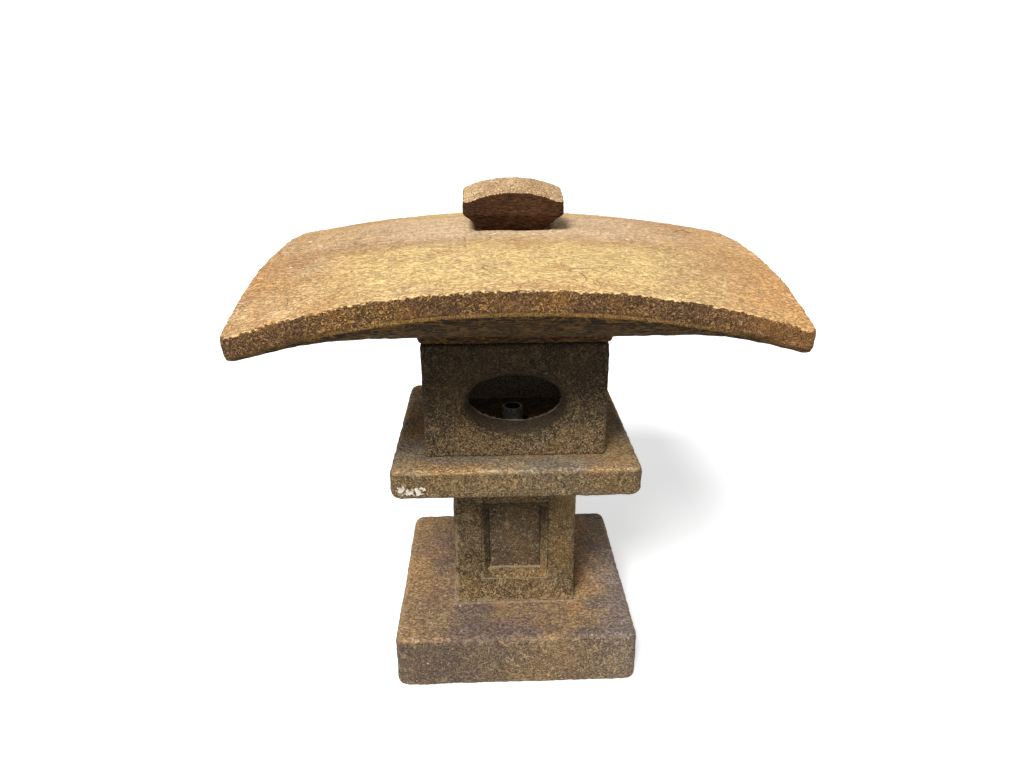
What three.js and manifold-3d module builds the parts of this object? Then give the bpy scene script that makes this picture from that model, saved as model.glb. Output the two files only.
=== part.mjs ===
// Stone lantern for a garden: six cast stones stacked dry, one on the other, round a
// standing conduit that brings a lamp's cable up to the light box.
//
// Millimetres, +Z up. The origin lies on the ground under the middle of the base slab,
// and the front of the lantern faces -Y.

import * as THREE from 'three';
import { mergeVertices } from 'three/addons/utils/BufferGeometryUtils.js';
import Module from 'manifold-3d';

const wasm = await Module();
wasm.setup();

// Driving dimensions

const bedJoint = 0.3;           // open joint where one stone lies on the next
const cutOverrun = 3;           // how far a cutting shape runs past the face it cuts

const baseWidth = 240;
const baseHeight = 56;
const baseCorner = 12;          // radius of the upright corners, seen in plan
const baseEdge = 9;             // radius of the top and bottom edges

const shaftWidth = 123;
const shaftHeight = 152;
const shaftCorner = 6;
const shaftEdge = 4;
const panelSideMargin = 27.5;   // stone left beside a sunk panel, out to the corner
const panelFootMargin = 29;
const panelHeadMargin = 34.5;
const panelDepth = 10;
const panelSlope = 8;           // how far a panel's sides lean in over its depth
const panelCorner = 3;

const platformWidth = 232;
const platformHeight = 29;
const platformCorner = 12;
const platformEdge = 8;

const lightBoxWidth = 170;
const lightBoxHeight = 110;
const lightBoxCorner = 6;
const lightBoxEdge = 4.5;
const lightBoxWall = 22;
const chamberCorner = 10;
const windowWidth = 97;         // oval mouth on the outer face
const windowHeight = 66;
const throatWidth = 87;         // the same oval where it opens into the chamber
const throatHeight = 44;
const windowDrop = 3.5;         // centre of the mouth below mid height
const throatDrop = 4;           // centre of the throat below mid height
const backWindowRise = 5;       // the back window sits higher than the front one

const roofWidth = 426;
const roofCorner = 11;
const roofLip = 2;              // small chamfer along the eave's edges
const roofRim = 20;             // height of the upright eave face
const roofFall = 15;            // drop from the crown to the middle of one eave
const roofCornerFall = 19;      // further drop at a corner
const roofCurve = 2.2;          // how late the roof starts to fall away
const dishDepth = 61;           // how far the underside swells below the rim
const dishCurve = 3;
const bossOverhang = 2.5;       // boss beyond the light box, each side
const bossDrop = 12;            // boss below the deepest point of the dish
const bossCorner = 6;
const bossEdge = 5;

const finialWidth = 90;
const finialFootWidth = 54;
const finialTaperHeight = 17;
const finialSideHeight = 8;     // upright side at a corner
const finialFall = 9;           // drop from the crown to the middle of one edge
const finialCornerFall = 2;     // further drop at a corner
const finialCurve = 2.2;
const finialCorner = 8;
const pocketDepth = 3;
const pocketClearance = 9;      // round the finial's foot

const pipeOuterRadius = 10.65;  // half inch conduit
const pipeWall = 2.75;
const pipeStub = 17;            // stands above the platform
const pipeFit = 0.35;           // in the base slab, radially
const coreClearance = 9.5;      // round the pipe, in the stones that lift off

// How finely the round surfaces are divided

const cornerSegments = 4;
const edgeSegments = 3;
const roundSegments = 40;
const roofGrid = 20;
const finialGrid = 12;

// Heights at which the stones lie

const shaftBed = baseHeight + bedJoint;
const platformBed = shaftBed + shaftHeight + bedJoint;
const lightBoxBed = platformBed + platformHeight + bedJoint;
const roofBed = lightBoxBed + lightBoxHeight + bedJoint;
const roofCrown = bossDrop + dishDepth + roofRim;
const finialBed = roofBed + roofCrown - pocketDepth + bedJoint;

const chamberWidth = lightBoxWidth - 2 * lightBoxWall;
const bossWidth = lightBoxWidth + 2 * bossOverhang;
const pocketWidth = finialFootWidth + 2 * pocketClearance;
const coreRadius = pipeOuterRadius + coreClearance;

// Closed geometry to a solid for cutting and joining, and back again

function toSolid(geometry) {
  const bare = geometry.clone();
  bare.deleteAttribute('normal');
  bare.deleteAttribute('uv');
  const merged = mergeVertices(bare);
  return new wasm.Manifold(new wasm.Mesh({
    numProp: 3,
    vertProperties: new Float32Array(merged.attributes.position.array),
    triVerts: new Uint32Array(merged.index.array),
  }));
}

function toGeometry(solid) {
  const mesh = solid.getMesh();
  const geometry = new THREE.BufferGeometry();
  geometry.setAttribute('position', new THREE.BufferAttribute(mesh.vertProperties, 3));
  geometry.setIndex(new THREE.BufferAttribute(mesh.triVerts, 1));
  geometry.computeVertexNormals();
  return geometry;
}

// Rectangle with round corners, centred on the origin

function roundedRectangle(width, height, corner) {
  const x = width / 2 - corner;
  const y = height / 2 - corner;
  const outline = new THREE.Shape();
  outline.absarc(x, -y, corner, -Math.PI / 2, 0);
  outline.absarc(x, y, corner, 0, Math.PI / 2);
  outline.absarc(-x, y, corner, Math.PI / 2, Math.PI);
  outline.absarc(-x, -y, corner, Math.PI, 1.5 * Math.PI);
  return outline;
}

// Square block with its bed at z = 0 and all its edges rounded

function stoneBlock(width, height, corner, edge) {
  const block = new THREE.ExtrudeGeometry(roundedRectangle(width, width, corner), {
    depth: height - 2 * edge,
    bevelThickness: edge,
    bevelSize: edge,
    bevelOffset: -edge,
    bevelSegments: edgeSegments,
    curveSegments: cornerSegments,
  });
  return block.translate(0, 0, edge);
}

// Square hole from z = bottom to z = top

function squareCutter(width, corner, bottom, top) {
  const cutter = new THREE.ExtrudeGeometry(roundedRectangle(width, width, corner), {
    depth: top - bottom,
    bevelEnabled: false,
    curveSegments: cornerSegments,
  });
  return toSolid(cutter.translate(0, 0, bottom));
}

// Round hole right through a stone of the given height

function boreCutter(radius, height) {
  const length = height + 2 * cutOverrun;
  const cutter = new THREE.CylinderGeometry(radius, radius, length, roundSegments);
  return toSolid(cutter.rotateX(Math.PI / 2).translate(0, 0, height / 2));
}

// Moves a point of a square grid, u and v from -1 to 1, onto a square with round corners.
// The shift that rounds the rim fades out towards the middle.

const rimFade = 4;

function squarePlan(u, v, half, corner) {
  const reach = Math.max(Math.abs(u), Math.abs(v));
  if (reach === 0) {
    return [0, 0];
  }
  const rim = new THREE.Vector2(u, v).multiplyScalar(half / reach);
  const limit = new THREE.Vector2(half - corner, half - corner);
  const centre = rim.clone().clamp(limit.clone().negate(), limit);
  const rounded = rim.clone().sub(centre).setLength(corner).add(centre);
  const shift = rounded.sub(rim).multiplyScalar(reach ** rimFade);
  return [u * half + shift.x, v * half + shift.y];
}

// Height of a square pillow above its own crown, which is 0

function pillow(u, v, curve, fall, cornerFall) {
  const across = Math.abs(u) ** curve;
  const along = Math.abs(v) ** curve;
  return -fall * (across + along) - cornerFall * across * along;
}

// Base slab, bored for the conduit that stands in it

function baseSlab() {
  const block = toSolid(stoneBlock(baseWidth, baseHeight, baseCorner, baseEdge));
  return block.subtract(boreCutter(pipeOuterRadius + pipeFit, baseHeight));
}

// Shaft with a sunk panel in each of its four faces

function panelCutter() {
  const width = shaftWidth - 2 * panelSideMargin - 2 * panelSlope;
  const height = shaftHeight - panelFootMargin - panelHeadMargin - 2 * panelSlope;
  const cutter = new THREE.ExtrudeGeometry(roundedRectangle(width, height, panelCorner), {
    depth: 2 * cutOverrun,
    bevelThickness: panelDepth,
    bevelSize: panelSlope,
    bevelSegments: 1,
    curveSegments: cornerSegments,
  });
  const middle = (shaftHeight + panelFootMargin - panelHeadMargin) / 2;
  return cutter.rotateX(Math.PI / 2).translate(0, -shaftWidth / 2, middle);
}

function shaft() {
  let stone = toSolid(stoneBlock(shaftWidth, shaftHeight, shaftCorner, shaftEdge));
  stone = stone.subtract(boreCutter(coreRadius, shaftHeight));
  for (let quarter = 0; quarter < 4; quarter += 1) {
    stone = stone.subtract(toSolid(panelCutter().rotateZ(quarter * Math.PI / 2)));
  }
  return stone;
}

// Platform that carries the light box and is the floor of its chamber

function platform() {
  const block = toSolid(stoneBlock(platformWidth, platformHeight, platformCorner, platformEdge));
  return block.subtract(boreCutter(coreRadius, platformHeight));
}

// Light box: a square ring, open above and below, with a splayed oval window in front
// and another behind

function windowCutter(rise) {
  const overrun = cutOverrun / lightBoxWall;
  const cutter = new THREE.CylinderGeometry(1, 1, 1, roundSegments);
  const place = cutter.attributes.position;
  for (let i = 0; i < place.count; i += 1) {
    const inward = place.getY(i) > 0 ? -overrun : 1 + overrun;
    const halfWidth = THREE.MathUtils.lerp(windowWidth, throatWidth, inward) / 2;
    const halfHeight = THREE.MathUtils.lerp(windowHeight, throatHeight, inward) / 2;
    const drop = THREE.MathUtils.lerp(windowDrop, throatDrop, inward);
    place.setXYZ(
      i,
      place.getX(i) * halfWidth,
      lightBoxWidth / 2 - inward * lightBoxWall,
      lightBoxHeight / 2 + rise - drop + place.getZ(i) * halfHeight,
    );
  }
  return cutter;
}

function lightBox() {
  const block = toSolid(stoneBlock(lightBoxWidth, lightBoxHeight, lightBoxCorner, lightBoxEdge));
  const chamber = squareCutter(chamberWidth, chamberCorner, -cutOverrun, lightBoxHeight + cutOverrun);
  const back = toSolid(windowCutter(backWindowRise));
  const front = toSolid(windowCutter(0).rotateZ(Math.PI));
  return block.subtract(chamber).subtract(back).subtract(front);
}

// Roof: a square pillow on top, a dish below, and a flat boss that beds on the light box.
// A square pocket in the crown takes the finial.

function roofShell() {
  const shell = new THREE.BoxGeometry(2, 2, 2, roofGrid, roofGrid, 3);
  const place = shell.attributes.position;
  for (let i = 0; i < place.count; i += 1) {
    const u = place.getX(i);
    const v = place.getY(i);
    const level = Math.round(place.getZ(i) * 3);
    const onFace = Math.abs(level) === 3;
    const inset = onFace ? roofLip : 0;
    const top = roofCrown + pillow(u, v, roofCurve, roofFall, roofCornerFall);
    const swell = dishDepth * (1 - Math.abs(u) ** dishCurve) * (1 - Math.abs(v) ** dishCurve);
    const height = {
      3: top,
      1: top - roofLip,
      '-1': top - roofRim + roofLip,
      '-3': top - roofRim - swell,
    }[level];
    const [x, y] = squarePlan(u, v, roofWidth / 2 - inset, roofCorner);
    place.setXYZ(i, x, y, height);
  }
  return toSolid(shell);
}

function roof() {
  const boss = toSolid(stoneBlock(bossWidth, bossDrop + dishDepth / 2, bossCorner, bossEdge));
  const pocket = squareCutter(pocketWidth, finialCorner, roofCrown - pocketDepth, roofCrown + cutOverrun);
  return roofShell().add(boss).subtract(pocket);
}

// Finial: a square loaf with a tapered foot

function finial() {
  const crown = finialTaperHeight + finialSideHeight + 2 * finialFall + finialCornerFall;
  const loaf = new THREE.BoxGeometry(2, 2, 2, finialGrid, finialGrid, 2);
  const place = loaf.attributes.position;
  for (let i = 0; i < place.count; i += 1) {
    const u = place.getX(i);
    const v = place.getY(i);
    const level = Math.round(place.getZ(i));
    const width = level < 0 ? finialFootWidth : finialWidth;
    const height = {
      1: crown + pillow(u, v, finialCurve, finialFall, finialCornerFall),
      0: finialTaperHeight,
      '-1': 0,
    }[level];
    const [x, y] = squarePlan(u, v, width / 2, finialCorner);
    place.setXYZ(i, x, y, height);
  }
  return toSolid(loaf);
}

// Conduit: a length of plastic pipe from the ground up to a stub in the light box

function conduit() {
  const top = lightBoxBed - bedJoint + pipeStub;
  const inner = pipeOuterRadius - pipeWall;
  const profile = [
    new THREE.Vector2(inner, 0),
    new THREE.Vector2(pipeOuterRadius, 0),
    new THREE.Vector2(pipeOuterRadius, top),
    new THREE.Vector2(inner, top),
    new THREE.Vector2(inner, 0),
  ];
  return toSolid(new THREE.LatheGeometry(profile, roundSegments).rotateX(Math.PI / 2));
}

// The assembly

function addPiece(group, name, solid, height, finish) {
  const piece = new THREE.Mesh(toGeometry(solid), new THREE.MeshStandardMaterial(finish));
  piece.name = name;
  piece.position.z = height;
  group.add(piece);
}

const lantern = new THREE.Group();
addPiece(lantern, 'base_slab', baseSlab(), 0, { color: 0x75604a, roughness: 0.93, metalness: 0 });
addPiece(lantern, 'shaft', shaft(), shaftBed, { color: 0x665540, roughness: 0.93, metalness: 0 });
addPiece(lantern, 'platform', platform(), platformBed, { color: 0x7c6850, roughness: 0.93, metalness: 0 });
addPiece(lantern, 'light_box', lightBox(), lightBoxBed, { color: 0x4b3e31, roughness: 0.94, metalness: 0 });
addPiece(lantern, 'roof', roof(), roofBed, { color: 0xc79a63, roughness: 0.92, metalness: 0 });
addPiece(lantern, 'finial', finial(), finialBed, { color: 0xb99468, roughness: 0.92, metalness: 0 });
addPiece(lantern, 'conduit', conduit(), 0, { color: 0x8c8f8c, roughness: 0.5, metalness: 0 });

export default lantern;
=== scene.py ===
import math

import bpy
from mathutils import Matrix, Vector


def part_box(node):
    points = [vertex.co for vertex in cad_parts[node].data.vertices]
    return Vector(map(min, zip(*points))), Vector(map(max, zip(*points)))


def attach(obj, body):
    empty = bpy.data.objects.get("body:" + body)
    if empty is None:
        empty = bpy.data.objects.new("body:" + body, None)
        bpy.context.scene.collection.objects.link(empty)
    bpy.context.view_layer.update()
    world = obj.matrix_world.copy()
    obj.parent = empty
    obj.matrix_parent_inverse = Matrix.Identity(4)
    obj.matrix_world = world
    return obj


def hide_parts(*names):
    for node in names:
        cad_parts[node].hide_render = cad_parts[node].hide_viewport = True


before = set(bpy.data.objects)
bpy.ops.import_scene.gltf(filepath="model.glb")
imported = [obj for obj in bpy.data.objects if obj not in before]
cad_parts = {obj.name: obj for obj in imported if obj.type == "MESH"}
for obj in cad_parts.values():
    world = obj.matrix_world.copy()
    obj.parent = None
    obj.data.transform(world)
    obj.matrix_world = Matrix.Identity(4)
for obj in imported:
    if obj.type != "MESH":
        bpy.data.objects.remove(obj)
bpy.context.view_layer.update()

# ---------------------------------------------------------------------------------------
# Camera: close in front and just higher than the finial, looking down a little.

camera_place = Vector((-0.0245, -0.7061, 0.5407))
camera_pitch = math.radians(20.41)
camera_yaw = math.radians(2.0)
camera_roll = math.radians(-0.16)
camera_data = bpy.data.cameras.new("camera")
camera_data.sensor_width = 36.0
camera_data.lens = 25.66
camera_data.clip_start = 0.02
camera = bpy.data.objects.new("camera", camera_data)
camera.matrix_world = (
    Matrix.Translation(camera_place)
    @ Matrix.Rotation(-camera_yaw, 4, "Z")
    @ Matrix.Rotation(math.pi / 2 - camera_pitch, 4, "X")
    @ Matrix.Rotation(camera_roll, 4, "Z")
)
bpy.context.scene.collection.objects.link(camera)
bpy.context.scene.camera = camera

# ---------------------------------------------------------------------------------------
# Base slab: a thick square of cast stone with a hole for the conduit. It was struck off and
# trowelled by hand while the mix was wet, so its faces sag, its edges are soft and its skin
# is wrinkled. The pigment is brown, with ochre and mauve-grey washes.


def deselect():
    bpy.ops.object.select_all(action="DESELECT")


def settle(name):
    """Names the piece just added and puts its place into its mesh."""
    bpy.ops.object.transform_apply(location=True, rotation=True, scale=True)
    piece = bpy.context.object
    piece.name = name
    return piece


def block(name, low, high):
    deselect()
    low, high = Vector(low), Vector(high)
    bpy.ops.mesh.primitive_cube_add(size=1, location=(low + high) / 2, scale=high - low)
    return settle(name)


def edit(piece, kind, chosen):
    """Enters edit mode with the points or edges selected whose ends all pass the test."""
    bpy.ops.object.mode_set(mode="EDIT")
    bpy.ops.mesh.select_mode(type=kind)
    bpy.ops.mesh.select_all(action="DESELECT")
    bpy.ops.object.mode_set(mode="OBJECT")
    points = piece.data.vertices
    if kind == "VERT":
        for point in points:
            point.select = chosen(point.co)
    else:
        for edge in piece.data.edges:
            edge.select = chosen(*(points[i].co for i in edge.vertices))
    bpy.ops.object.mode_set(mode="EDIT")


def round_edges(piece, width, chosen, segments=4):
    edit(piece, "EDGE", chosen)
    bpy.ops.mesh.bevel(offset=width, segments=segments)
    bpy.ops.object.mode_set(mode="OBJECT")


def upright(a, b):
    """Picks the edges that run up and down."""
    return abs(a.z - b.z) > 0.7 * (a - b).length


near = 1e-5


def level(height):
    """Picks the edges that lie at that height."""
    return lambda a, b: abs(a.z - height) < near and abs(b.z - height) < near


def apply_modifiers(piece):
    deselect()
    piece.select_set(True)
    bpy.context.view_layer.objects.active = piece
    for modifier in list(piece.modifiers):
        bpy.ops.object.modifier_apply(modifier=modifier.name)


def combine(piece, tool, operation="DIFFERENCE"):
    """Cuts the tool's shape out of the piece, or joins it on, and takes the tool away."""
    boolean = piece.modifiers.new("boolean", "BOOLEAN")
    boolean.operation = operation
    boolean.solver = "EXACT"
    boolean.object = tool
    apply_modifiers(piece)
    bpy.data.objects.remove(tool)


def bore(piece, radius, low, high):
    """A round hole up through the whole piece."""
    deselect()
    bpy.ops.mesh.primitive_cylinder_add(
        vertices=64, radius=radius, depth=2 * (high - low), location=(0, 0, (low + high) / 2)
    )
    combine(piece, settle("core"))


def mould_pattern(name, kind, size, **settings):
    pattern = bpy.data.textures.new(name, kind)
    pattern.noise_scale = size
    for key, value in settings.items():
        setattr(pattern, key, value)
    return pattern


sag = mould_pattern("sag", "CLOUDS", 0.08, noise_depth=1)
lumps = mould_pattern("lumps", "CLOUDS", 0.014, noise_depth=2)
wrinkles = mould_pattern("wrinkles", "CLOUDS", 0.0055, noise_depth=2)


def cast(
    piece, fineness, bed_low, bed_high, sagging=0.0014, lumpiness=0.0013, wrinkling=0.0011, drag=1.0
):
    """Gives the model one even skin, then unevenness at three scales. The beds, where the
    piece lies on its neighbours, stay flat. Drag draws the marks out from left to right."""
    skin = piece.modifiers.new("skin", "REMESH")
    skin.mode = "VOXEL"
    skin.voxel_size = fineness
    skin.use_smooth_shade = True
    apply_modifiers(piece)
    free = piece.vertex_groups.new(name="free")
    bed_border = 0.0015
    for point in piece.data.vertices:
        room = min(abs(point.co.z - bed_low), abs(bed_high - point.co.z)) / bed_border
        free.add([point.index], min(1.0, room), "REPLACE")
    trowel = bpy.data.objects.new("trowel", None)
    trowel.scale.x = drag
    bpy.context.scene.collection.objects.link(trowel)
    bpy.context.view_layer.update()
    for pattern, strength in ((sag, sagging), (lumps, lumpiness), (wrinkles, wrinkling)):
        displace = piece.modifiers.new(pattern.name, "DISPLACE")
        displace.texture = pattern
        displace.texture_coords = "OBJECT"
        displace.texture_coords_object = trowel
        displace.strength = strength
        displace.mid_level = 0.45
        displace.vertex_group = "free"
    apply_modifiers(piece)
    bpy.data.objects.remove(trowel)
    piece.vertex_groups.clear()
    facing = piece.data.attributes.new("facing", "FLOAT", "POINT")
    facing.data.foreach_set("value", [point.normal.z for point in piece.data.vertices])


def new_group(name, inputs, outputs):
    """A shader node group. Inputs are {name: (kind, default)} and outputs {name: kind}."""
    tree = bpy.data.node_groups.new(name, "ShaderNodeTree")
    kinds = {"value": "NodeSocketFloat", "vector": "NodeSocketVector"}
    for title, (kind, default) in inputs.items():
        socket = tree.interface.new_socket(name=title, in_out="INPUT", socket_type=kinds[kind])
        socket.default_value = default
    for title, kind in outputs.items():
        tree.interface.new_socket(name=title, in_out="OUTPUT", socket_type=kinds[kind])
    return tree, tree.nodes.new("NodeGroupInput").outputs, tree.nodes.new("NodeGroupOutput").inputs


def feed(tree, socket, source):
    """Sets a socket to a plain value or links it to another socket."""
    if isinstance(source, bpy.types.NodeSocket):
        tree.links.new(source, socket)
    elif isinstance(source, tuple) and socket.type == "RGBA":
        socket.default_value = (*source, 1)
    else:
        socket.default_value = source


def add_node(tree, kind, sources, **settings):
    made = tree.nodes.new(kind)
    for key, value in settings.items():
        setattr(made, key, value)
    for key, source in sources.items():
        feed(tree, made.inputs[key], source)
    return made.outputs


def calc(tree, operation, *values):
    return add_node(tree, "ShaderNodeMath", dict(enumerate(values)), operation=operation)[0]


def ramp(tree, value, start, end, low=0.0, high=1.0):
    """Goes smoothly from low to high as the value goes from start to end."""
    sources = {"Value": value, "From Min": start, "From Max": end, "To Min": low, "To Max": high}
    return add_node(tree, "ShaderNodeMapRange", sources, interpolation_type="SMOOTHSTEP")[0]


def blend(tree, share, under, over):
    made = tree.nodes.new("ShaderNodeMix")
    made.data_type = "RGBA"
    colour_sockets = [socket for socket in made.inputs if socket.type == "RGBA"]
    feed(tree, made.inputs[0], share)
    feed(tree, colour_sockets[0], under)
    feed(tree, colour_sockets[1], over)
    return next(socket for socket in made.outputs if socket.type == "RGBA")


# Trowelled skin: small folds with curly lines between them. Width is the lines' share of
# the folds, and Relief says whether they stand up as ridges (1) or sink in as creases (-1).

skin_group, skin_in, skin_out = new_group(
    "Trowelled skin",
    {
        "Vector": ("vector", (0, 0, 0)),
        "Drag": ("vector", (1, 1, 1)),
        "Size": ("value", 0.006),
        "Width": ("value", 0.1),
        "Relief": ("value", -1),
    },
    {"Height": "value", "Line": "value", "Grain": "value"},
)
dragged = add_node(
    skin_group, "ShaderNodeVectorMath", {0: skin_in["Vector"], 1: skin_in["Drag"]}, operation="MULTIPLY"
)[0]
pitch = calc(skin_group, "DIVIDE", 1.0, skin_in["Size"])
folds = add_node(
    skin_group, "ShaderNodeTexNoise",
    {"Vector": dragged, "Scale": pitch, "Detail": 1.2, "Roughness": 0.5, "Distortion": 1.6},
)[0]
fine = add_node(
    skin_group, "ShaderNodeTexNoise",
    {"Vector": dragged, "Scale": calc(skin_group, "MULTIPLY", pitch, 3.5), "Detail": 3.0, "Roughness": 0.7},
)[0]
off_line = calc(skin_group, "ABSOLUTE", calc(skin_group, "SUBTRACT", folds, 0.5))
broken = ramp(skin_group, fine, 0.34, 0.46)
line = calc(skin_group, "MULTIPLY", ramp(skin_group, off_line, 0.0, skin_in["Width"], 1.0, 0.0), broken)
swell = calc(
    skin_group, "ADD", calc(skin_group, "MULTIPLY", folds, 0.3), calc(skin_group, "MULTIPLY", fine, 0.7)
)
raised = calc(skin_group, "MULTIPLY", calc(skin_group, "MULTIPLY", line, skin_in["Relief"]), 0.25)
feed(skin_group, skin_out["Height"], calc(skin_group, "ADD", swell, raised))
feed(skin_group, skin_out["Line"], line)
feed(skin_group, skin_out["Grain"], fine)

# Pigment wash: soft patches of thin colour with broken borders.

wash_group, wash_in, wash_out = new_group(
    "Pigment wash",
    {
        "Vector": ("vector", (0, 0, 0)),
        "Size": ("value", 0.08),
        "Seed": ("value", 0),
        "Cover": ("value", 0.4),
    },
    {"Mask": "value"},
)
patches = add_node(
    wash_group, "ShaderNodeTexNoise",
    {
        "Vector": wash_in["Vector"],
        "W": wash_in["Seed"],
        "Scale": calc(wash_group, "DIVIDE", 1.0, wash_in["Size"]),
        "Detail": 5.0,
        "Roughness": 0.6,
    },
    noise_dimensions="4D",
)[0]
border = calc(wash_group, "SUBTRACT", 0.72, calc(wash_group, "MULTIPLY", wash_in["Cover"], 0.44))
softness = 0.09
outer = calc(wash_group, "SUBTRACT", border, softness)
inner = calc(wash_group, "ADD", border, softness)
feed(wash_group, wash_out["Mask"], ramp(wash_group, patches, outer, inner))

# Sand: single grains of the mix that show through the pigment. Cover is the share of the
# grains that show.

sand_group, sand_in, sand_out = new_group(
    "Sand grains",
    {"Vector": ("vector", (0, 0, 0)), "Size": ("value", 0.0015), "Cover": ("value", 0.2)},
    {"Mask": "value"},
)
cells = add_node(
    sand_group, "ShaderNodeTexVoronoi",
    {"Vector": sand_in["Vector"], "Scale": calc(sand_group, "DIVIDE", 1.0, sand_in["Size"])},
)
grain_body = ramp(sand_group, cells["Distance"], 0.25, 0.6, 1.0, 0.0)
lot = add_node(sand_group, "ShaderNodeSeparateColor", {"Color": cells["Color"]})[0]
showing = calc(sand_group, "LESS_THAN", lot, sand_in["Cover"])
feed(sand_group, sand_out["Mask"], calc(sand_group, "MULTIPLY", grain_body, showing))

# Worn edges: the arrises of a square block, where the pigment has rubbed off. Middle is
# the block's centre and Half holds its half sizes.

wear_group, wear_in, wear_out = new_group(
    "Worn edges",
    {
        "Vector": ("vector", (0, 0, 0)),
        "Middle": ("vector", (0, 0, 0)),
        "Half": ("vector", (1, 1, 1)),
        "Width": ("value", 0.004),
    },
    {"Mask": "value"},
)
centred = add_node(
    wear_group, "ShaderNodeVectorMath", {0: wear_in["Vector"], 1: wear_in["Middle"]}, operation="SUBTRACT"
)[0]
folded = add_node(wear_group, "ShaderNodeVectorMath", {0: centred}, operation="ABSOLUTE")[0]
inside = add_node(
    wear_group, "ShaderNodeVectorMath", {0: wear_in["Half"], 1: folded}, operation="SUBTRACT"
)[0]
depth_x, depth_y, depth_z = add_node(wear_group, "ShaderNodeSeparateXYZ", {0: inside})
deepest = calc(wear_group, "MAXIMUM", calc(wear_group, "MAXIMUM", depth_x, depth_y), depth_z)
whole = calc(wear_group, "ADD", calc(wear_group, "ADD", depth_x, depth_y), depth_z)
from_edge = calc(wear_group, "SUBTRACT", whole, deepest)
rub = add_node(
    wear_group, "ShaderNodeTexNoise", {"Vector": wear_in["Vector"], "Scale": 90.0, "Detail": 5.0}
)[0]
reach = calc(wear_group, "MULTIPLY", wear_in["Width"], ramp(wear_group, rub, 0.35, 0.7, 0.0, 2.0))
out_of_reach = calc(wear_group, "DIVIDE", from_edge, reach)
feed(wear_group, wear_out["Mask"], ramp(wear_group, out_of_reach, 0.6, 1.2, 1.0, 0.0))


def use(tree, group, **sources):
    """Places a node group in a material, with its own values or links."""
    made = tree.nodes.new("ShaderNodeGroup")
    made.node_tree = group
    for key, source in sources.items():
        feed(tree, made.inputs[key], source)
    return made.outputs


def start_finish(name, roughness):
    """A new material: its node tree, its shader and the piece's own coordinates."""
    material = bpy.data.materials.new(name)
    material.use_nodes = True
    tree = material.node_tree
    shader = tree.nodes["Principled BSDF"]
    shader.inputs["Roughness"].default_value = roughness
    shader.inputs["Specular IOR Level"].default_value = 0.2
    return material, tree, shader, tree.nodes.new("ShaderNodeTexCoord").outputs["Object"]


def stain(tree, place, ground, washes):
    """The ground pigment with its washes: (colour, patch size, cover, strength) each."""
    colour = ground
    for number, (wash, size, cover, strength) in enumerate(washes):
        patch = use(tree, wash_group, Vector=place, Size=size, Seed=3.7 * number + 1.0, Cover=cover)[0]
        colour = blend(tree, calc(tree, "MULTIPLY", patch, strength), colour, wash)
    return colour


def shade(tree, colour, tone):
    """Multiplies a colour's brightness by the tone."""
    return add_node(tree, "ShaderNodeHueSaturation", {"Color": colour, "Value": tone})[0]


def blend_value(tree, share, under, over):
    """Like blend, for plain values."""
    return add_node(tree, "ShaderNodeMix", {0: share, 2: under, 3: over})[0]


def mottle(tree, colour, grain, low=0.45, high=1.65):
    """Lightens and darkens a colour with the fine grain of the skin."""
    return shade(tree, colour, ramp(tree, grain, 0.38, 0.62, low, high))


def sprinkle(tree, place, colour, size, cover, strength, grain_colour):
    """Shows some of the sand grains, or sparse flecks where the size is larger."""
    grains = use(tree, sand_group, Vector=place, Size=size, Cover=cover)[0]
    return blend(tree, calc(tree, "MULTIPLY", grains, strength), colour, grain_colour)


def read_facing(tree):
    """1 on faces that look up, 0 on upright ones and -1 underneath."""
    return add_node(tree, "ShaderNodeAttribute", {}, attribute_name="facing")["Fac"]


def spot(tree, place, centre, size):
    """A ragged spot: 1 inside and 0 outside."""
    offset = add_node(tree, "ShaderNodeVectorMath", {0: place, 1: centre}, operation="SUBTRACT")[0]
    scaled = add_node(tree, "ShaderNodeVectorMath", {0: offset, 1: size}, operation="DIVIDE")[0]
    distance = add_node(tree, "ShaderNodeVectorMath", {0: scaled}, operation="LENGTH")["Value"]
    tear = add_node(tree, "ShaderNodeTexNoise", {"Vector": place, "Scale": 260.0, "Detail": 2.0})[0]
    return ramp(tree, calc(tree, "ADD", distance, ramp(tree, tear, 0.35, 0.65, -0.6, 0.6)), 0.9, 0.7)


def finish(piece, material, tree, shader, colour, height, depth):
    """Joins the colour and a bump of that depth in metres to the shader."""
    feed(tree, shader.inputs["Base Color"], colour)
    bump = add_node(tree, "ShaderNodeBump", {"Height": height, "Strength": 1.0, "Distance": depth})[0]
    feed(tree, shader.inputs["Normal"], bump)
    piece.data.materials.append(material)


base_corner = 0.011
base_brow = 0.007
base_foot = 0.005
conduit_hole = 0.011
base_low, base_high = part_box("base_slab")
base = block("base_stone", base_low, base_high)
round_edges(base, base_corner, upright)
round_edges(base, base_brow, level(base_high.z))
round_edges(base, base_foot, level(base_low.z))
bore(base, conduit_hole, base_low.z, base_high.z)
cast(base, 0.0015, base_low.z, base_high.z)

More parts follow.
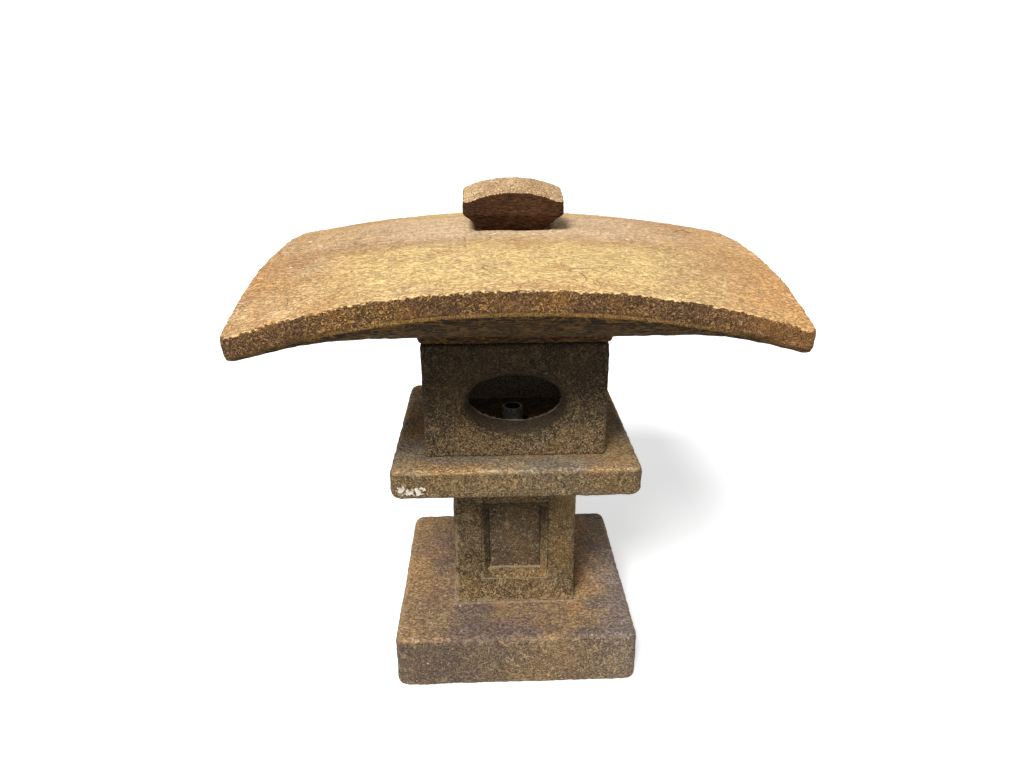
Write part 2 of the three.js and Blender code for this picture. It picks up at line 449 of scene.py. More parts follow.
base_finish, tree, shader, place = start_finish("base_finish", 0.92)
creased = use(tree, skin_group, Vector=place, Drag=(0.7, 0.9, 1.0), Size=0.0064, Width=0.06, Relief=-1.0)
ridged = use(tree, skin_group, Vector=place, Drag=(0.8, 0.8, 1.0), Size=0.0048, Width=0.08, Relief=1.0)
colour = stain(tree, place, (0.300, 0.190, 0.108), (
    ((0.510, 0.275, 0.105), 0.070, 0.42, 0.80),
    ((0.180, 0.132, 0.112), 0.080, 0.52, 0.85),
    ((0.440, 0.320, 0.150), 0.030, 0.32, 0.55),
))
across, along, _ = add_node(tree, "ShaderNodeSeparateXYZ", {0: place})
colour = blend(tree, ramp(tree, across, 0.06, 0.12, 0.0, 0.5), colour, (0.330, 0.280, 0.255))
top = blend(tree, ramp(tree, across, -0.05, -0.12, 0.0, 0.5), colour, (0.540, 0.330, 0.145))
top = mottle(tree, top, creased["Grain"], 0.56, 1.42)
top = blend(tree, calc(tree, "MULTIPLY", creased["Line"], 0.55), top, (0.075, 0.050, 0.036))
side = blend(tree, ramp(tree, across, 0.02, -0.07, 0.0, 0.6), colour, (0.240, 0.160, 0.120))
side = mottle(tree, shade(tree, side, 0.48), ridged["Grain"], 0.40, 1.65)
lined = ramp(tree, across, -0.07, 0.02, 0.45, 0.90)
side = blend(tree, calc(tree, "MULTIPLY", ridged["Line"], lined), side, (0.540, 0.370, 0.190))
up = ramp(tree, read_facing(tree), 0.3, 0.8)
colour = blend(tree, up, side, top)
from_axis = calc(tree, "MAXIMUM", calc(tree, "ABSOLUTE", across), calc(tree, "ABSOLUTE", along))
shaft_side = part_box("shaft")[1].x
dust_start = 0.0015
dust_end = 0.0045
dust = ramp(tree, from_axis, shaft_side + dust_end, shaft_side + dust_start, 0.0, 0.6)
colour = blend(tree, calc(tree, "MULTIPLY", dust, creased["Grain"]), colour, (0.620, 0.520, 0.360))
colour = sprinkle(tree, place, colour, 0.0018, 0.05, 0.4, (0.600, 0.500, 0.340))
colour = sprinkle(tree, place, colour, 0.0024, 0.006, 0.8, (0.700, 0.600, 0.440))
middle = (base_low + base_high) / 2
half = (base_high - base_low) / 2
worn = use(tree, wear_group, Vector=place, Middle=tuple(middle), Half=tuple(half), Width=0.004)[0]
colour = blend(tree, calc(tree, "MULTIPLY", worn, 0.25), colour, (0.480, 0.340, 0.200))
height = blend_value(tree, up, ridged["Height"], creased["Height"])
finish(base, base_finish, tree, shader, colour, height, 0.0036)
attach(base, "base")
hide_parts("base_slab")

# ---------------------------------------------------------------------------------------
# Conduit: a length of grey plastic pipe, sawn square and eased at the rim. It comes up
# through the stones and ends as a dusty stub on the floor of the light box.

pipe_wall = 0.00275
pipe_low, pipe_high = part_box("conduit")
deselect()
bpy.ops.mesh.primitive_cylinder_add(
    vertices=96,
    radius=pipe_high.x,
    depth=pipe_high.z - pipe_low.z,
    location=(0, 0, (pipe_low.z + pipe_high.z) / 2),
    end_fill_type="NOTHING",
)
pipe = settle("conduit_pipe")
wall = pipe.modifiers.new("wall", "SOLIDIFY")
wall.thickness = pipe_wall
wall.offset = -1
rim = pipe.modifiers.new("rim", "BEVEL")
rim.width = 0.0006
rim.segments = 3
apply_modifiers(pipe)
bpy.ops.object.shade_smooth_by_angle(angle=math.radians(40))

pipe_finish, tree, shader, place = start_finish("pipe_finish", 0.5)
skin = use(tree, skin_group, Vector=place, Drag=(1, 1, 0.3), Size=0.004, Width=0.08, Relief=-1.0)
dust = use(tree, wash_group, Vector=place, Size=0.014, Seed=2.0, Cover=0.6)[0]
colour = blend(tree, calc(tree, "MULTIPLY", dust, 0.7), (0.48, 0.50, 0.45), (0.30, 0.25, 0.18))
colour = blend(tree, calc(tree, "MULTIPLY", skin["Line"], 0.5), colour, (0.06, 0.05, 0.04))
flat = add_node(tree, "ShaderNodeVectorMath", {0: place, 1: (1, 1, 0)}, operation="MULTIPLY")[0]
from_axis = add_node(tree, "ShaderNodeVectorMath", {0: flat}, operation="LENGTH")["Value"]
bore_radius = pipe_high.x - pipe_wall
# Painted shade: the inside of the bore is painted near black.
painted_bore_shade = ramp(tree, from_axis, bore_radius + 0.00075, bore_radius + 0.00015)
colour = blend(tree, painted_bore_shade, colour, (0.030, 0.024, 0.018))
feed(tree, shader.inputs["Roughness"], ramp(tree, dust, 0.0, 1.0, 0.45, 0.85))
finish(pipe, pipe_finish, tree, shader, colour, skin["Height"], 0.0001)
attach(pipe, "base")
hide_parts("conduit")

# ---------------------------------------------------------------------------------------
# Shaft: a square block cast round a core, which leaves room for the conduit. A panel with
# splayed sides is sunk in each face. It is dark olive brown, ochre at the head.

core_radius = 0.02015
panel_side_margin = 0.0275
panel_foot_margin = 0.029
panel_head_margin = 0.0345
panel_depth = 0.010
panel_slope = 0.008
panel_corner = 0.004
shaft_corner = 0.004
shaft_low, shaft_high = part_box("shaft")
shaft_half = shaft_high.x
shaft = block("shaft_stone", shaft_low, shaft_high)


def sink_panel(turn):
    """Cuts one panel with a block whose inner face is drawn in on all four sides."""
    proud = 0.004
    low = Vector((panel_side_margin - shaft_half, -shaft_half - proud, shaft_low.z + panel_foot_margin))
    high = Vector(
        (shaft_half - panel_side_margin, panel_depth - shaft_half, shaft_high.z - panel_head_margin)
    )
    width, _, tall = high - low
    tool = block("panel_tool", low, high)
    edit(tool, "VERT", lambda p: p.y > -shaft_half)
    bpy.ops.transform.resize(
        value=((width - 2 * panel_slope) / width, 1, (tall - 2 * panel_slope) / tall),
        center_override=(low + high) / 2,
    )
    bpy.ops.object.mode_set(mode="OBJECT")
    round_edges(tool, panel_corner, lambda a, b: abs(a.y - b.y) > panel_depth)
    bpy.ops.transform.rotate(value=turn, orient_axis="Z", center_override=(0, 0, 0))
    combine(shaft, settle("panel_tool"))


for quarter in range(4):
    sink_panel(quarter * math.pi / 2)
round_edges(
    shaft, shaft_corner, lambda a, b: upright(a, b) and min(abs(a.x), abs(a.y)) > shaft_half - 0.001
)
bore(shaft, core_radius, shaft_low.z, shaft_high.z)
cast(shaft, 0.0012, shaft_low.z, shaft_high.z, sagging=0.0010)

shaft_finish, tree, shader, place = start_finish("shaft_finish", 0.93)
skin = use(tree, skin_group, Vector=place, Drag=(1, 1, 1), Size=0.0044, Width=0.085, Relief=1.0)
colour = stain(tree, place, (0.062, 0.038, 0.018), (
    ((0.040, 0.028, 0.018), 0.060, 0.45, 0.70),
    ((0.200, 0.110, 0.034), 0.055, 0.35, 0.60),
    ((0.135, 0.095, 0.048), 0.030, 0.35, 0.50),
))
across, along, rise = add_node(tree, "ShaderNodeSeparateXYZ", {0: place})
head = ramp(tree, rise, shaft_high.z - 0.070, shaft_high.z - 0.030)
ochre = calc(tree, "MULTIPLY", head, ramp(tree, across, 0.030, 0.048, 0.0, 0.7))
colour = blend(tree, ochre, colour, (0.270, 0.165, 0.055))
colour = mottle(tree, colour, skin["Grain"], 0.35, 1.7)
colour = blend(tree, calc(tree, "MULTIPLY", skin["Line"], 0.75), colour, (0.450, 0.310, 0.145))
colour = sprinkle(tree, place, colour, 0.0016, 0.12, 0.5, (0.500, 0.390, 0.230))

# The panels: a dull floor, sides with painted light and shade, darker under the head and lighter towards the
# foot, and scored borders.
sideways = calc(tree, "MINIMUM", calc(tree, "ABSOLUTE", across), calc(tree, "ABSOLUTE", along))
panel_foot = shaft_low.z + panel_foot_margin
panel_head = shaft_high.z - panel_head_margin
off_middle = calc(tree, "ABSOLUTE", calc(tree, "SUBTRACT", rise, (panel_foot + panel_head) / 2))
past_border = calc(
    tree, "MAXIMUM",
    calc(tree, "SUBTRACT", sideways, shaft_half - panel_side_margin),
    calc(tree, "SUBTRACT", off_middle, (panel_head - panel_foot) / 2),
)
line_width = 0.0012
panel_floor = ramp(tree, past_border, -panel_slope, -panel_slope - line_width)
in_panel = ramp(tree, past_border, 0.0, -line_width)
slope = calc(tree, "MULTIPLY", in_panel, calc(tree, "SUBTRACT", 1.0, panel_floor))
colour = blend(tree, calc(tree, "MULTIPLY", panel_floor, 0.35), colour, (0.054, 0.036, 0.029))
pale_share = calc(tree, "MULTIPLY", panel_floor, 0.16)
colour = sprinkle(tree, place, colour, 0.0021, pale_share, 0.7, (0.420, 0.350, 0.260))
# Painted light and shade on the splayed sides: dark at the head, where they face down, and light at the foot,
# where they face up.
slope_light_and_shade = ramp(tree, rise, panel_head - panel_slope, panel_foot + panel_slope, 0.55, 1.35)
colour = shade(tree, colour, blend_value(tree, slope, 1.0, slope_light_and_shade))
outer_line = ramp(tree, calc(tree, "ABSOLUTE", past_border), 0.0, line_width, 1.0, 0.0)
from_floor = calc(tree, "ABSOLUTE", calc(tree, "ADD", past_border, panel_slope))
inner_line = ramp(tree, from_floor, 0.0, line_width, 1.0, 0.0)
lines = calc(tree, "MAXIMUM", calc(tree, "MULTIPLY", outer_line, 0.7), inner_line)
low_edge = ramp(tree, rise, panel_foot + panel_slope + 0.002, panel_foot + panel_slope + 0.001)
line_colour = blend(tree, low_edge, (0.022, 0.015, 0.009), (0.420, 0.320, 0.200))
colour = blend(tree, calc(tree, "MULTIPLY", lines, 0.85), colour, line_colour)
height = calc(tree, "SUBTRACT", skin["Height"], calc(tree, "MULTIPLY", lines, 0.35))

middle = (shaft_low + shaft_high) / 2
half = (shaft_high - shaft_low) / 2
worn = use(tree, wear_group, Vector=place, Middle=tuple(middle), Half=tuple(half), Width=0.003)[0]
colour = blend(tree, calc(tree, "MULTIPLY", worn, 0.5), colour, (0.36, 0.26, 0.15))
# Painted light: the shaft grows lighter towards its foot, below the shade of the platform's overhang.
colour = shade(tree, colour, ramp(tree, rise, shaft_low.z + 0.050, shaft_low.z, 1.0, 1.95))
finish(shaft, shaft_finish, tree, shader, colour, height, 0.0040)
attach(shaft, "shaft")
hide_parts("shaft")

# ---------------------------------------------------------------------------------------
# Platform: a thin square slab, cored like the shaft, that carries the light box and is the
# floor of its chamber. Mid brown, with grey and rust washes.

platform_corner = 0.011
platform_brow = 0.006
platform_foot = 0.007
platform_low, platform_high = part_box("platform")
platform = block("platform_stone", platform_low, platform_high)
round_edges(platform, platform_corner, upright)
round_edges(platform, platform_brow, level(platform_high.z))
round_edges(platform, platform_foot, level(platform_low.z))
bore(platform, core_radius, platform_low.z, platform_high.z)
cast(platform, 0.0014, platform_low.z, platform_high.z)

platform_finish, tree, shader, place = start_finish("platform_finish", 0.92)
creased = use(tree, skin_group, Vector=place, Drag=(0.6, 0.8, 1.0), Size=0.0054, Width=0.08, Relief=-1.0)
ridged = use(tree, skin_group, Vector=place, Drag=(0.9, 0.9, 1.0), Size=0.0046, Width=0.085, Relief=1.0)
colour = stain(tree, place, (0.400, 0.256, 0.120), (
    ((0.520, 0.275, 0.100), 0.055, 0.34, 0.55),
    ((0.225, 0.195, 0.160), 0.060, 0.48, 0.75),
    ((0.440, 0.345, 0.190), 0.030, 0.35, 0.55),
))
top = mottle(tree, shade(tree, colour, 1.16), creased["Grain"], 0.50, 1.50)
top = blend(tree, calc(tree, "MULTIPLY", creased["Line"], 0.60), top, (0.090, 0.062, 0.036))
side = mottle(tree, shade(tree, colour, 0.31), ridged["Grain"], 0.40, 1.65)
side = blend(tree, calc(tree, "MULTIPLY", ridged["Line"], 0.85), side, (0.500, 0.320, 0.135))
up = ramp(tree, read_facing(tree), 0.3, 0.8)
colour = blend(tree, up, side, top)
colour = sprinkle(tree, place, colour, 0.0018, 0.10, 0.5, (0.600, 0.480, 0.290))
middle = (platform_low + platform_high) / 2
half = (platform_high - platform_low) / 2
worn = use(tree, wear_group, Vector=place, Middle=tuple(middle), Half=tuple(half), Width=0.003)[0]
colour = blend(tree, calc(tree, "MULTIPLY", worn, 0.15), colour, (0.420, 0.320, 0.200))
chip_size = (0.0045, 0.0200, 0.0040)
for left, rise in ((-0.105, 0.011), (-0.097, 0.009), (-0.089, 0.010)):
    chip = spot(tree, place, (left, platform_low.y, platform_low.z + rise), chip_size)
    colour = blend(tree, chip, colour, (0.800, 0.740, 0.620))
height = blend_value(tree, up, ridged["Height"], creased["Height"])
finish(platform, platform_finish, tree, shader, colour, height, 0.0036)
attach(platform, "platform")
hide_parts("platform")

# ---------------------------------------------------------------------------------------
# Light box: a square ring of stone with thick walls, open above and below. An oval window
# with splayed reveals is cut in the front wall and another in the back wall.

box_low, box_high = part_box("light_box")
box_half = box_high.x
box_wall = 0.022
box_corner = 0.005
box_brow = 0.004
chamber_corner = 0.010
box_middle = (box_low.z + box_high.z) / 2
light_box = block("light_box_stone", box_low, box_high)
round_edges(light_box, box_corner, upright)
round_edges(light_box, box_brow, level(box_high.z))
overrun = 0.004
chamber = block(
    "chamber_tool",
    (box_wall - box_half, box_wall - box_half, box_low.z - overrun),
    (box_half - box_wall, box_half - box_wall, box_high.z + overrun),
)
round_edges(chamber, chamber_corner, upright)
combine(light_box, chamber)

mouth = {"width": 0.097, "height": 0.066, "drop": 0.0035}
throat = {"width": 0.087, "height": 0.044, "drop": 0.0040}
back_rise = 0.005


def cut_window(side, rise):
    """Cuts one splayed oval with a drum laid through the wall: its outer rim takes the
    mouth's size and its inner rim the throat's. Side is -1 in front and 1 behind."""
    wall_centre = side * (box_half - box_wall / 2)
    deselect()
    bpy.ops.mesh.primitive_cylinder_add(
        vertices=96,
        radius=0.5,
        depth=box_wall,
        location=(0, wall_centre, box_middle + rise),
        rotation=(math.pi / 2, 0, 0),
    )
    tool = settle("window_tool")
    for oval, outer in ((mouth, True), (throat, False)):
        edit(tool, "VERT", lambda p: (abs(p.y) > abs(wall_centre)) == outer)
        bpy.ops.transform.resize(
            value=(oval["width"], 1, oval["height"]), center_override=(0, 0, box_middle + rise)
        )
        bpy.ops.transform.translate(value=(0, 0, -oval["drop"]))
        bpy.ops.object.mode_set(mode="OBJECT")
    edit(tool, "VERT", lambda p: True)
    bpy.ops.transform.resize(value=(1, 1.1, 1), center_override=(0, wall_centre, 0))
    bpy.ops.object.mode_set(mode="OBJECT")
    combine(light_box, tool)


cut_window(-1, 0.0)
cut_window(1, back_rise)
mouth_rounding = 0.002
mouth_reach = 0.050


def on_mouth(a, b):
    """Picks the windows' outlines on the front and back faces."""
    at_face = min(abs(a.y), abs(b.y)) > box_half - near
    return at_face and max(abs(a.x), abs(b.x), abs(a.z - box_middle), abs(b.z - box_middle)) < mouth_reach


round_edges(light_box, mouth_rounding, on_mouth, segments=2)
cast(light_box, 0.0014, box_low.z, box_high.z, sagging=0.0010)

box_finish, tree, shader, place = start_finish("box_finish", 0.93)
skin = use(tree, skin_group, Vector=place, Drag=(1, 1, 1), Size=0.0044, Width=0.085, Relief=1.0)
colour = stain(tree, place, (0.070, 0.043, 0.021), (
    ((0.045, 0.032, 0.022), 0.050, 0.45, 0.70),
    ((0.180, 0.098, 0.034), 0.040, 0.32, 0.60),
))
across, along, rise = add_node(tree, "ShaderNodeSeparateXYZ", {0: place})
colour = mottle(tree, colour, skin["Grain"], 0.35, 1.7)
foot_share = ramp(tree, rise, box_high.z - 0.010, box_low.z)
strength = ramp(tree, foot_share, 0.0, 1.0, 0.95, 0.80)
colour = blend(tree, calc(tree, "MULTIPLY", skin["Line"], strength), colour, (0.370, 0.255, 0.125))
sandy = ramp(tree, rise, box_middle - 0.005, box_low.z, 0.06, 0.65)
colour = sprinkle(tree, place, colour, 0.0018, sandy, 0.65, (0.480, 0.350, 0.190))

# The windows: dark reveals, a scored line round each mouth and a faint ring outside it.
behind = calc(tree, "GREATER_THAN", along, 0.0)
centre = calc(tree, "ADD", calc(tree, "MULTIPLY", behind, back_rise), box_middle - mouth["drop"])
oval_x = calc(tree, "DIVIDE", across, mouth["width"] / 2)
oval_z = calc(tree, "DIVIDE", calc(tree, "SUBTRACT", rise, centre), mouth["height"] / 2)
oval = calc(
    tree, "SQRT", calc(tree, "ADD", calc(tree, "POWER", oval_x, 2.0), calc(tree, "POWER", oval_z, 2.0))
)
in_wall = calc(tree, "SUBTRACT", box_half, calc(tree, "ABSOLUTE", along))
reveal = calc(tree, "MULTIPLY", ramp(tree, in_wall, 0.002, 0.006), ramp(tree, oval, 1.00, 0.96))
reveal_colour = mottle(tree, (0.088, 0.066, 0.042), skin["Grain"], 0.5, 1.5)
colour = blend(tree, calc(tree, "MULTIPLY", reveal, 0.75), colour, reveal_colour)
mouth_line = ramp(tree, calc(tree, "ABSOLUTE", calc(tree, "SUBTRACT", oval, 1.02)), 0.0, 0.022, 1.0, 0.0)
ring_line = ramp(tree, calc(tree, "ABSOLUTE", calc(tree, "SUBTRACT", oval, 1.13)), 0.0, 0.018, 1.0, 0.0)
scored = calc(tree, "MAXIMUM", mouth_line, calc(tree, "MULTIPLY", ring_line, 0.6))
scored = calc(tree, "MULTIPLY", scored, ramp(tree, in_wall, 0.006, 0.003, 0.0, 0.7))
colour = blend(tree, scored, colour, (0.030, 0.021, 0.012))

# Painted shade: darker towards the top, where the roof's eaves shade the wall, and lighter towards the foot.
# Darker on the left. The chamber's walls are painted pale, as painted light in the dim chamber.
colour = shade(tree, colour, ramp(tree, foot_share, 0.0, 1.0, 0.38, 1.42))
colour = shade(tree, colour, ramp(tree, across, -0.090, 0.090, 0.85, 1.12))
off_centre = calc(tree, "MAXIMUM", calc(tree, "ABSOLUTE", across), calc(tree, "ABSOLUTE", along))
chamber_half = box_half - box_wall
in_chamber = ramp(tree, off_centre, chamber_half + 0.003, chamber_half + 0.001)
# Painted light: the chamber's inner walls are painted pale to stand in for the light inside the chamber.
chamber_painted_light = mottle(tree, (0.640, 0.520, 0.380), skin["Grain"], 0.5, 1.4)
colour = blend(tree, in_chamber, colour, chamber_painted_light)
height = calc(tree, "SUBTRACT", skin["Height"], calc(tree, "MULTIPLY", scored, 0.3))
finish(light_box, box_finish, tree, shader, colour, height, 0.0040)
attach(light_box, "light_box")
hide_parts("light_box")

# ---------------------------------------------------------------------------------------
# Roof: a wide square stone, domed above like a pillow and swelling below like a dish, with
# a flat boss that beds on the light box and a shallow pocket for the finial. The top is
# golden tan, the eave faces dark with gold on their ridges, and the underside dark brown.

roof_low, roof_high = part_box("roof")
roof_half = roof_high.x
crown = roof_high.z
rim_height = 0.020
rim_rounding = 0.006
roof_corner = 0.010
dome_cuts = 15
roof = block("roof_stone", (-roof_half, -roof_half, crown - rim_height), (roof_half, roof_half, crown))
edit(roof, "EDGE", lambda a, b: not upright(a, b))
bpy.ops.mesh.subdivide(number_cuts=dome_cuts)
bpy.ops.object.mode_set(mode="OBJECT")
round_edges(roof, roof_corner, upright)


def on_outline(p):
    """True on the outline of the rounded square."""
    past_x = max(0.0, abs(p.x) - roof_half + roof_corner)
    past_y = max(0.0, abs(p.y) - roof_half + roof_corner)
    return math.hypot(past_x, past_y) > roof_corner - 10 * near


def on_drip_edge(a, b):
    return level(crown - rim_height)(a, b) and on_outline(a) and on_outline(b)


round_edges(roof, rim_rounding, on_drip_edge, segments=3)


def let_down(piece, depth, share):
    """Lowers each point by its share, 0 to 1, of the depth."""
    weights = piece.vertex_groups.new(name="share")
    for point in piece.data.vertices:
        weights.add([point.index], share(point.co), "REPLACE")
    fall = piece.modifiers.new("fall", "DISPLACE")
    fall.direction = "Z"
    fall.strength = -depth
    fall.mid_level = 0
    fall.vertex_group = "share"
    apply_modifiers(piece)
    piece.vertex_groups.clear()


def pillow(piece, half, curve, fall, corner_fall):
    """Lets the sides and the corners of a square piece down from its crown."""
    let_down(piece, fall, lambda p: (abs(p.x) / half) ** curve)
    let_down(piece, fall, lambda p: (abs(p.y) / half) ** curve)
    let_down(piece, corner_fall, lambda p: (abs(p.x * p.y) / half**2) ** curve)


def belly(p):
    """1 under the roof's middle, 0 at its rim and above its underside."""
    under = (crown - p.z) / rim_height
    return under * (1 - (abs(p.x) / roof_half) ** 3) * (1 - (abs(p.y) / roof_half) ** 3)


belly_depth = 0.061
roof_curve = 2.2
roof_fall = 0.015
roof_corner_fall = 0.019
let_down(roof, belly_depth, belly)
pillow(roof, roof_half, roof_curve, roof_fall, roof_corner_fall)
boss_margin = 0.0025
boss_corner = 0.006
boss_foot = 0.005
boss_half = box_half + boss_margin
boss_top = crown - 0.04
boss = block("boss", (-boss_half, -boss_half, roof_low.z), (boss_half, boss_half, boss_top))
round_edges(boss, boss_corner, upright)
round_edges(boss, boss_foot, level(roof_low.z))
combine(roof, boss, "UNION")
finial_low, finial_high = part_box("finial")
bed_joint = 0.0003
pocket_half = 0.036
pocket_corner = 0.008
pocket_floor = finial_low.z - bed_joint
pocket = block(
    "pocket_tool", (-pocket_half, -pocket_half, pocket_floor), (pocket_half, pocket_half, crown + overrun)
)
round_edges(pocket, pocket_corner, upright)
combine(roof, pocket)
cast(roof, 0.0023, roof_low.z, pocket_floor, sagging=0.0022, wrinkling=0.0014, drag=1.8)

# The top: worn pale round the finial, golden on its brows, orange on the right, with fine
# creases and a few long cracks.
roof_finish, tree, shader, place = start_finish("roof_finish", 0.9)
skin = use(tree, skin_group, Vector=place, Drag=(0.5, 1.0, 1.0), Size=0.0062, Width=0.050, Relief=-1.0)
top_colour = stain(tree, place, (0.700, 0.440, 0.205), (
    ((0.600, 0.310, 0.115), 0.070, 0.45, 0.70),
    ((0.480, 0.300, 0.170), 0.100, 0.38, 0.60),
    ((0.820, 0.600, 0.340), 0.035, 0.30, 0.50),
))
across, along, rise = add_node(tree, "ShaderNodeSeparateXYZ", {0: place})
off_x = calc(tree, "ABSOLUTE", across)
off_y = calc(tree, "ABSOLUTE", along)
top_colour = blend(tree, ramp(tree, across, 0.110, 0.200, 0.0, 0.45), top_colour, (0.800, 0.410, 0.140))
worn_crown = calc(
    tree, "MULTIPLY", ramp(tree, off_y, 0.050, 0.095, 1.0, 0.0), ramp(tree, off_x, 0.060, 0.170, 1.0, 0.25)
)
top_colour = blend(tree, calc(tree, "MULTIPLY", worn_crown, 0.75), top_colour, (0.940, 0.680, 0.420))
brow = calc(tree, "MULTIPLY", ramp(tree, off_y, 0.065, 0.115), ramp(tree, off_y, 0.175, 0.213, 1.0, 0.5))
brow = calc(tree, "MULTIPLY", brow, ramp(tree, off_x, 0.090, 0.185, 1.0, 0.0))
uneven = use(tree, wash_group, Vector=place, Size=0.040, Seed=9.0, Cover=0.70)[0]
top_colour = blend(tree, calc(tree, "MULTIPLY", brow, uneven), top_colour, (0.880, 0.620, 0.270))
top_colour = mottle(tree, top_colour, skin["Grain"], 0.66, 1.22)
top_colour = blend(tree, calc(tree, "MULTIPLY", skin["Line"], 0.50), top_colour, (0.230, 0.115, 0.045))
crack = use(tree, skin_group, Vector=place, Drag=(0.7, 1.0, 1.0), Size=0.060, Width=0.011, Relief=-1.0)
cracked = use(tree, wash_group, Vector=place, Size=0.070, Seed=21.0, Cover=0.35)[0]
cracked = calc(tree, "MULTIPLY", crack["Line"], cracked)
top_colour = blend(tree, calc(tree, "MULTIPLY", cracked, 0.60), top_colour, (0.200, 0.100, 0.045))
top_colour = sprinkle(tree, place, top_colour, 0.0036, 0.0015, 0.9, (0.880, 0.800, 0.640))

# The eave faces: dark, with a gold line on each small ridge.
ridged = use(tree, skin_group, Vector=place, Drag=(0.8, 0.8, 1.0), Size=0.0034, Width=0.070, Relief=1.0)
side_colour = stain(tree, place, (0.100, 0.050, 0.021), (
    ((0.270, 0.118, 0.030), 0.050, 0.38, 0.70),
    ((0.070, 0.040, 0.024), 0.050, 0.40, 0.60),
))
side_colour = blend(tree, ramp(tree, across, 0.100, 0.200, 0.0, 0.6), side_colour, (0.270, 0.115, 0.030))
golden = use(tree, wash_group, Vector=place, Size=0.035, Seed=14.0, Cover=0.40)[0]
along_eave = calc(tree, "MINIMUM", off_x, off_y)
golden = calc(tree, "MULTIPLY", golden, ramp(tree, along_eave, 0.110, 0.170, 1.0, 0.3))
line_colour = blend(tree, golden, (0.480, 0.270, 0.110), (0.780, 0.430, 0.120))
side_colour = mottle(tree, side_colour, ridged["Grain"], 0.30, 1.35)
side_colour = blend(tree, calc(tree, "MULTIPLY", ridged["Line"], 0.90), side_colour, line_colour)

# The underside: nearly black, with brown streaks along it.
streaks = use(tree, skin_group, Vector=place, Drag=(0.25, 0.25, 1.2), Size=0.0046, Width=0.075, Relief=1.0)
under_colour = mottle(tree, (0.028, 0.014, 0.003), streaks["Grain"], 0.25, 1.80)
under_colour = blend(tree, calc(tree, "MULTIPLY", streaks["Line"], 0.80), under_colour, (0.200, 0.103, 0.018))
facing = read_facing(tree)
ragged = calc(tree, "ADD", facing, ramp(tree, skin["Grain"], 0.3, 0.7, -0.25, 0.25))
upper = ramp(tree, ragged, 0.45, 0.62)
colour = blend(tree, upper, side_colour, top_colour)
inboard = ramp(tree, calc(tree, "MAXIMUM", off_x, off_y), 0.190, 0.170)
below = calc(tree, "MULTIPLY", inboard, ramp(tree, facing, 0.4, 0.2))
under = calc(tree, "MAXIMUM", ramp(tree, facing, -0.05, -0.45), below)
colour = blend(tree, under, colour, under_colour)

# The drip edge: a thin broken line of gold along the foot of each eave face. The depth below
# the domed top repeats what pillow does to the shape.
curve_x = calc(tree, "POWER", calc(tree, "DIVIDE", off_x, roof_half), roof_curve)
curve_y = calc(tree, "POWER", calc(tree, "DIVIDE", off_y, roof_half), roof_curve)
side_drop = calc(tree, "MULTIPLY", calc(tree, "ADD", curve_x, curve_y), roof_fall)
corner_drop = calc(tree, "MULTIPLY", calc(tree, "MULTIPLY", curve_x, curve_y), roof_corner_fall)
top_height = calc(tree, "SUBTRACT", crown, calc(tree, "ADD", side_drop, corner_drop))
eave_depth = calc(tree, "SUBTRACT", top_height, rise)
drip_edge = ramp(tree, eave_depth, rim_height - 0.0048, rim_height - 0.0036)
for share in (
    ramp(tree, eave_depth, rim_height - 0.0006, rim_height - 0.0018),
    ramp(tree, calc(tree, "MAXIMUM", off_x, off_y), roof_half - 0.006, roof_half - 0.003),
    ramp(tree, along_eave, 0.110, 0.170, 1.0, 0.2),
    ramp(tree, ridged["Grain"], 0.42, 0.62, 0.10, 0.85),
):
    drip_edge = calc(tree, "MULTIPLY", drip_edge, share)
colour = blend(tree, drip_edge, colour, (0.520, 0.280, 0.085))

height = blend_value(tree, upper, ridged["Height"], skin["Height"])
open_cracks = calc(tree, "MULTIPLY", cracked, upper)
height = calc(tree, "SUBTRACT", height, calc(tree, "MULTIPLY", open_cracks, 0.5))
finish(roof, roof_finish, tree, shader, colour, height, 0.0032)
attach(roof, "roof")
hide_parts("roof")

# ---------------------------------------------------------------------------------------
# Finial: a square loaf with a tapered foot, set in the roof's pocket. Its top is pale and
# speckled, its sides are dark red-brown with level trowel marks.

finial_half = finial_high.x
foot_half = 0.027
taper = 0.017
finial_corner = 0.007
finial_curve = 2.2
finial_fall = 0.009
finial_corner_fall = 0.003
shoulder = finial_low.z + taper
finial = block(
    "finial_stone", (-finial_half, -finial_half, shoulder), (finial_half, finial_half, finial_high.z)
)
bpy.ops.object.mode_set(mode="EDIT")
bpy.ops.mesh.select_all(action="SELECT")
bpy.ops.mesh.subdivide(number_cuts=dome_cuts)
bpy.ops.object.mode_set(mode="OBJECT")


def up_loaf(p):
    """0 at the shoulder and 1 on top, so that only the top is domed."""
    return max(0.0, (p.z - shoulder) / (finial_high.z - shoulder))


def fall_to_sides(p):
    """Half of the share for each direction, because a share can't be more than 1."""
    across_share = (abs(p.x) / finial_half) ** finial_curve
    along_share = (abs(p.y) / finial_half) ** finial_curve
    return up_loaf(p) * (across_share + along_share) / 2


def fall_to_corners(p):
    return up_loaf(p) * (abs(p.x * p.y) / finial_half**2) ** finial_curve


let_down(finial, 2 * finial_fall, fall_to_sides)
let_down(finial, finial_corner_fall, fall_to_corners)
edit(finial, "EDGE", level(shoulder))
bpy.ops.mesh.select_mode(type="FACE")
bpy.ops.mesh.extrude_region_move(TRANSFORM_OT_translate={"value": (0, 0, -taper)})
bpy.ops.transform.resize(
    value=(foot_half / finial_half, foot_half / finial_half, 1),
    center_override=(0, 0, finial_low.z),
)
bpy.ops.object.mode_set(mode="OBJECT")


def on_diagonal(p):
    return abs(abs(p.x) - abs(p.y)) < near and abs(p.x) > foot_half - near


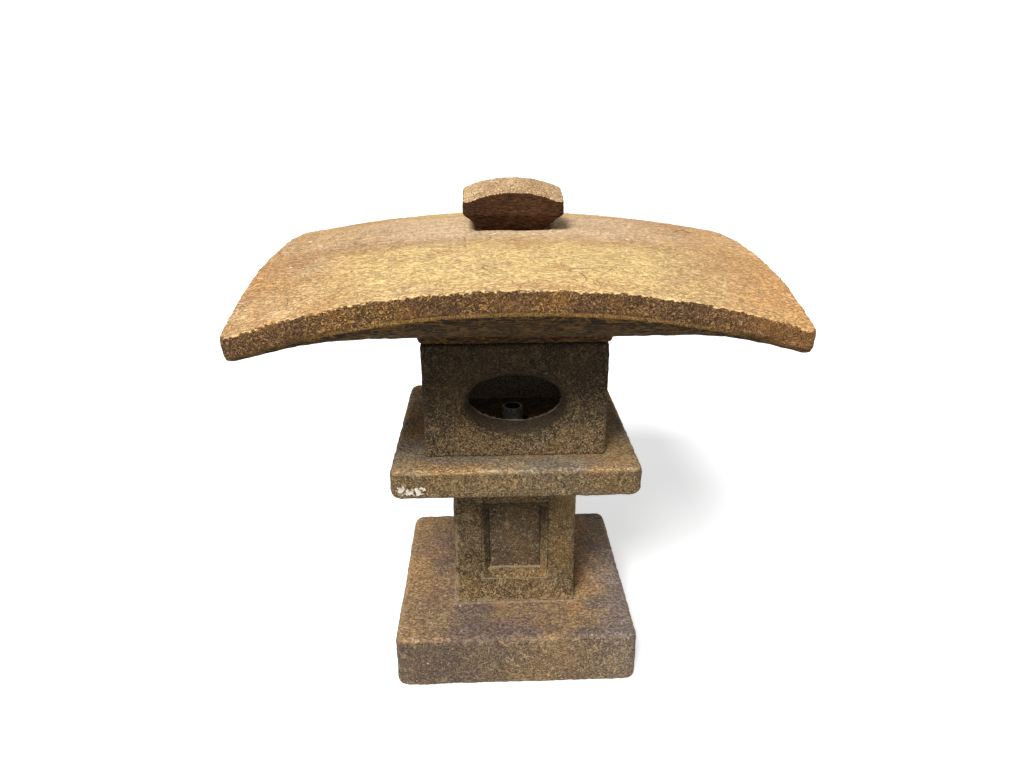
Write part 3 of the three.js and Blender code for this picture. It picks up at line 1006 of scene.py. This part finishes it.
def at_corner(a, b):
    """Picks the four upright corners, above the shoulder and down the taper."""
    same_corner = on_diagonal(a) and on_diagonal(b) and a.x * b.x > 0 and a.y * b.y > 0
    at_side = min(abs(abs(a.x) - finial_half), abs(abs(b.x) - finial_half)) < near
    return same_corner and at_side and abs(a.z - b.z) > near


round_edges(finial, finial_corner, at_corner)
cast(finial, 0.0009, finial_low.z, finial_high.z + 0.01, sagging=0.0010)

finial_finish, tree, shader, place = start_finish("finial_finish", 0.9)
skin = use(tree, skin_group, Vector=place, Drag=(0.8, 0.9, 1.0), Size=0.0040, Width=0.075, Relief=-1.0)
top_colour = stain(tree, place, (0.860, 0.590, 0.320), (
    ((0.620, 0.370, 0.175), 0.030, 0.40, 0.60),
))
top_colour = mottle(tree, top_colour, skin["Grain"], 0.38, 1.52)
top_colour = blend(tree, calc(tree, "MULTIPLY", skin["Line"], 0.60), top_colour, (0.24, 0.12, 0.05))
streaks = use(tree, skin_group, Vector=place, Drag=(0.25, 0.25, 1.4), Size=0.0044, Width=0.085, Relief=1.0)
side_colour = stain(tree, place, (0.046, 0.017, 0.006), (
    ((0.100, 0.042, 0.014), 0.030, 0.35, 0.60),
))
side_colour = mottle(tree, side_colour, streaks["Grain"], 0.35, 1.7)
side_colour = blend(tree, calc(tree, "MULTIPLY", streaks["Line"], 0.38), side_colour, (0.200, 0.098, 0.038))
ragged = calc(tree, "ADD", read_facing(tree), ramp(tree, skin["Grain"], 0.3, 0.7, -0.2, 0.2))
upper = ramp(tree, ragged, 0.40, 0.62)
colour = blend(tree, upper, side_colour, top_colour)
height = blend_value(tree, upper, streaks["Height"], skin["Height"])
finish(finial, finial_finish, tree, shader, colour, height, 0.0035)
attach(finial, "finial")
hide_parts("finial")

# ---------------------------------------------------------------------------------------
# Studio: a plain pale floor, an even pale surround and one broad soft light, high in front
# and to the left. The floor glows a little for the camera alone, which keeps the shadow faint.

deselect()
bpy.ops.mesh.primitive_plane_add(size=40, location=(0, 0, 0))
floor = bpy.context.object
floor.name = "floor"
floor_finish, tree, shader, _ = start_finish("floor_finish", 0.9)
shader.inputs["Base Color"].default_value = (0.82, 0.82, 0.82, 1)
seen = add_node(tree, "ShaderNodeLightPath", {})["Is Camera Ray"]
feed(tree, shader.inputs["Emission Color"], (1.0, 1.0, 1.0))
feed(tree, shader.inputs["Emission Strength"], calc(tree, "MULTIPLY", seen, 0.45))
floor.data.materials.append(floor_finish)

surround = bpy.data.worlds.new("surround")
surround.use_nodes = True
tree = surround.node_tree
seen = add_node(tree, "ShaderNodeLightPath", {})["Is Camera Ray"]
brightness = ramp(tree, seen, 0.0, 1.0, 0.38, 1.0)
feed(tree, tree.nodes["Background"].inputs["Color"], (1.0, 1.0, 1.0))
feed(tree, tree.nodes["Background"].inputs["Strength"], brightness)
bpy.context.scene.world = surround
softbox_data = bpy.data.lights.new("softbox", "SUN")
softbox_data.energy = 4.2
softbox_data.angle = math.radians(22)
softbox = bpy.data.objects.new("softbox", softbox_data)
softbox.rotation_euler = (math.radians(44), 0, math.radians(-24))
bpy.context.scene.collection.objects.link(softbox)
bpy.context.scene.view_settings.view_transform = "Standard"
